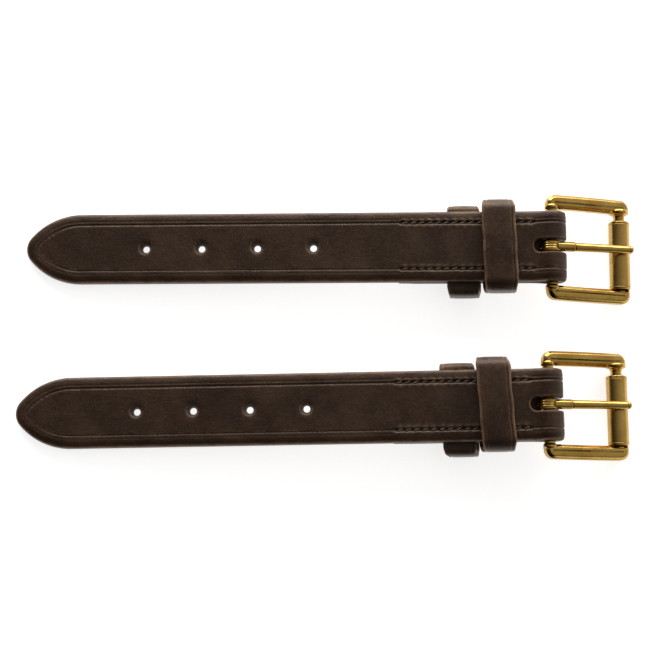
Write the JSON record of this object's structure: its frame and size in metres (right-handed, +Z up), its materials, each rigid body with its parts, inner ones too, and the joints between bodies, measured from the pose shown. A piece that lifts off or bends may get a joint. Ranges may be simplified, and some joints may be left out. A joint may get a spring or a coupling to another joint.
{
  "type": "girth point strap",
  "caption": "Short pointed leather girth straps with punched holes, stitched keepers and brass roller buckles, for fastening or lengthening a saddle girth.",
  "frame": {"origin": "centre of the pair's bounding box, on the ground it lies on", "axes": "+X along the straps from their points to their buckles, +Y across the pair from the second strap to the first, +Z up from the ground"},
  "size_m": [0.2214, 0.095, 0.0219],
  "materials": {
    "bridle_leather": "waxed dark brown bridle leather, creased and edge-dyed",
    "keeper_leather": "waxed dark brown leather with a bevelled edge",
    "waxed_thread": "dark brown waxed linen thread",
    "cast_brass": "polished cast brass",
    "roller_brass": "drawn brass tube, satin",
    "tongue_brass": "polished brass rod"
  },
  "bodies": {
    "first_strap": {"strap_1": "bridle_leather", "front_keeper_1": "keeper_leather", "back_keeper_1": "keeper_leather", "stitching_left_1": "waxed_thread", "stitching_right_1": "waxed_thread"},
    "first_buckle": {"buckle_frame_1": "cast_brass"},
    "first_roller": {"buckle_roller_1": "roller_brass"},
    "first_tongue": {"buckle_tongue_1": "tongue_brass"},
    "second_strap": {"strap_2": "bridle_leather", "front_keeper_2": "keeper_leather", "back_keeper_2": "keeper_leather", "stitching_left_2": "waxed_thread", "stitching_right_2": "waxed_thread"},
    "second_buckle": {"buckle_frame_2": "cast_brass"},
    "second_roller": {"buckle_roller_2": "roller_brass"},
    "second_tongue": {"buckle_tongue_2": "tongue_brass"}
  },
  "joints": [
    {"name": "buckle_swing_1", "type": "hinge", "parent": "first_strap", "child": "first_buckle", "pos_m": [0.08065, 0.02835, 0.01217], "axis": [-0.007, -1, 0], "range_deg": [-70, 45]},
    {"name": "tongue_swing_1", "type": "hinge", "parent": "first_buckle", "child": "first_tongue", "pos_m": [0.08065, 0.02835, 0.01217], "axis": [-0.007, -1, 0], "range_deg": [0, 75]},
    {"name": "roller_spin_1", "type": "hinge", "parent": "first_buckle", "child": "first_roller", "pos_m": [0.10611, 0.02817, 0.0038], "axis": [-0.007, -1, 0], "continuous": true},
    {"name": "buckle_swing_2", "type": "hinge", "parent": "second_strap", "child": "second_buckle", "pos_m": [0.07835, -0.02835, 0.01217], "axis": [0.0105, -0.9999, 0], "range_deg": [-70, 45]},
    {"name": "tongue_swing_2", "type": "hinge", "parent": "second_buckle", "child": "second_tongue", "pos_m": [0.07835, -0.02835, 0.01217], "axis": [0.0105, -0.9999, 0], "range_deg": [0, 75]},
    {"name": "roller_spin_2", "type": "hinge", "parent": "second_buckle", "child": "second_roller", "pos_m": [0.10381, -0.02808, 0.0038], "axis": [0.0105, -0.9999, 0], "continuous": true},
    {"name": "second_strap_apart", "type": "slide", "parent": "first_strap", "child": "second_strap", "axis": [0, -1, 0], "range_m": [0, 0.06]}
  ]
}
